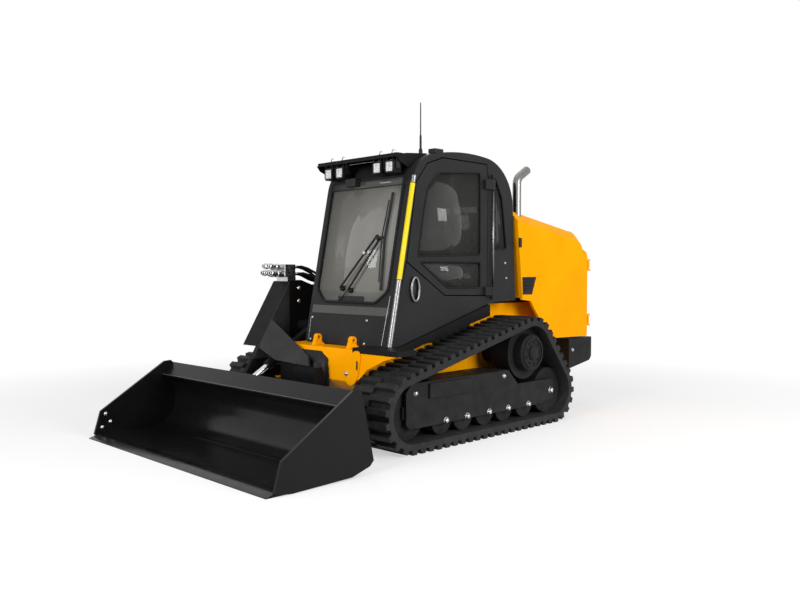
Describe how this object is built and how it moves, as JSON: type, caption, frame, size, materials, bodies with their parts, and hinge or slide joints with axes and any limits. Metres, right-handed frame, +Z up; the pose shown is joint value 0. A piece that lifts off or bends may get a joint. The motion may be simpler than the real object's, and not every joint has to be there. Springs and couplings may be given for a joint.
{
  "type": "compact track loader",
  "caption": "Compact track loader with a single lift arm on its right, a side-entry cab, rubber tracks and a wide bucket.",
  "frame": {"origin": "on the ground below the middle of the overall box", "axes": "the machine faces -Y, its left side is +X, +Z is up"},
  "size_m": [2.448, 4.28, 2.69],
  "materials": {
    "yellow_paint": "gloss",
    "black_paint": "satin",
    "track_rubber": "matt",
    "worn_steel": "satin",
    "bare_steel": "satin",
    "rod_chrome": "polished",
    "black_plastic": "matt",
    "seat_cover": "matt",
    "engine_casting": "matt",
    "clear_glass": "clear"
  },
  "bodies": {
    "machine": {"antenna": "black_plastic", "boom_tower": "black_paint", "cab_floor": "black_paint", "cab_front": "black_paint", "cab_glass": "clear_glass", "cab_left_wall": "black_paint", "cab_rear_wall": "black_paint", "cab_right_wall": "black_paint", "cab_roof": "black_paint", "chassis_frame": "yellow_paint", "control_consoles": "black_plastic", "counterweight": "black_paint", "drive_left": "black_paint", "drive_right": "black_paint", "engine_block": "engine_casting", "exhaust_stack": "rod_chrome", "fender_left": "black_paint", "front_hooks": "yellow_paint", "hood": "yellow_paint", "idlers_left": "black_paint", "idlers_right": "black_paint", "light_bar": "black_paint", "seat": "seat_cover", "track_frame_left": "black_paint", "track_frame_right": "black_paint", "track_left": "track_rubber", "track_right": "track_rubber", "track_rollers_left": "black_paint", "track_rollers_right": "black_paint", "windshield": "clear_glass"},
    "boom": {"boom_arm": "black_paint", "auxiliary_couplers": "bare_steel"},
    "lift_barrel": {"lift_barrel": "black_paint"},
    "lift_rod": {"lift_rod": "rod_chrome"},
    "tilt_barrel": {"tilt_barrel": "black_paint"},
    "tilt_rod": {"tilt_rod": "rod_chrome"},
    "bucket": {"bucket": "black_paint", "cutting_edge": "worn_steel", "bucket_hitch": "black_paint"},
    "cab_door": {"door_panel": "black_paint", "door_glass": "clear_glass"},
    "rear_door": {"rear_door": "black_paint"}
  },
  "joints": [
    {"name": "boom_lift", "type": "hinge", "parent": "machine", "child": "boom", "pos_m": [-0.71, 1.59, 1.62], "axis": [-1, 0, 0], "range_deg": [0, 57]},
    {"name": "lift_barrel_hinge", "type": "hinge", "parent": "machine", "child": "lift_barrel", "pos_m": [-0.71, 1.4, 1.1], "axis": [-1, 0, 0], "range_deg": [0, 58.29]},
    {"name": "lift_rod_slide", "type": "slide", "parent": "lift_barrel", "child": "lift_rod", "axis": [0, -0.9959, -0.0905], "range_m": [0, 0.5344]},
    {"name": "bucket_tilt", "type": "hinge", "parent": "boom", "child": "bucket", "pos_m": [0, -1.205, 0.23], "axis": [1, 0, 0], "range_deg": [-30, 99]},
    {"name": "tilt_barrel_hinge", "type": "hinge", "parent": "boom", "child": "tilt_barrel", "pos_m": [-0.42, -0.465, 0.86], "axis": [1, 0, 0], "range_deg": [-1.14, 3.54]},
    {"name": "tilt_rod_slide", "type": "slide", "parent": "tilt_barrel", "child": "tilt_rod", "axis": [0, -0.8517, -0.5241], "range_m": [-0.0751, 0.2456]},
    {"name": "cab_door_hinge", "type": "hinge", "parent": "machine", "child": "cab_door", "pos_m": [0.772, 0.535, 1.63], "axis": [0, 0, 1], "range_deg": [0, 85]},
    {"name": "rear_door_hinge", "type": "hinge", "parent": "machine", "child": "rear_door", "pos_m": [0.76, 2.06, 1.12], "axis": [0, 0, -1], "range_deg": [0, 100]}
  ],
  "couplings": [
    {"joint": "lift_barrel_hinge", "follows": "boom_lift", "ratio": 1.0209},
    {"joint": "lift_rod_slide", "follows": "boom_lift", "m_per_rad": 0.53619},
    {"joint": "tilt_barrel_hinge", "follows": "bucket_tilt", "ratio": 0.03471},
    {"joint": "tilt_rod_slide", "follows": "bucket_tilt", "m_per_rad": 0.14156}
  ]
}
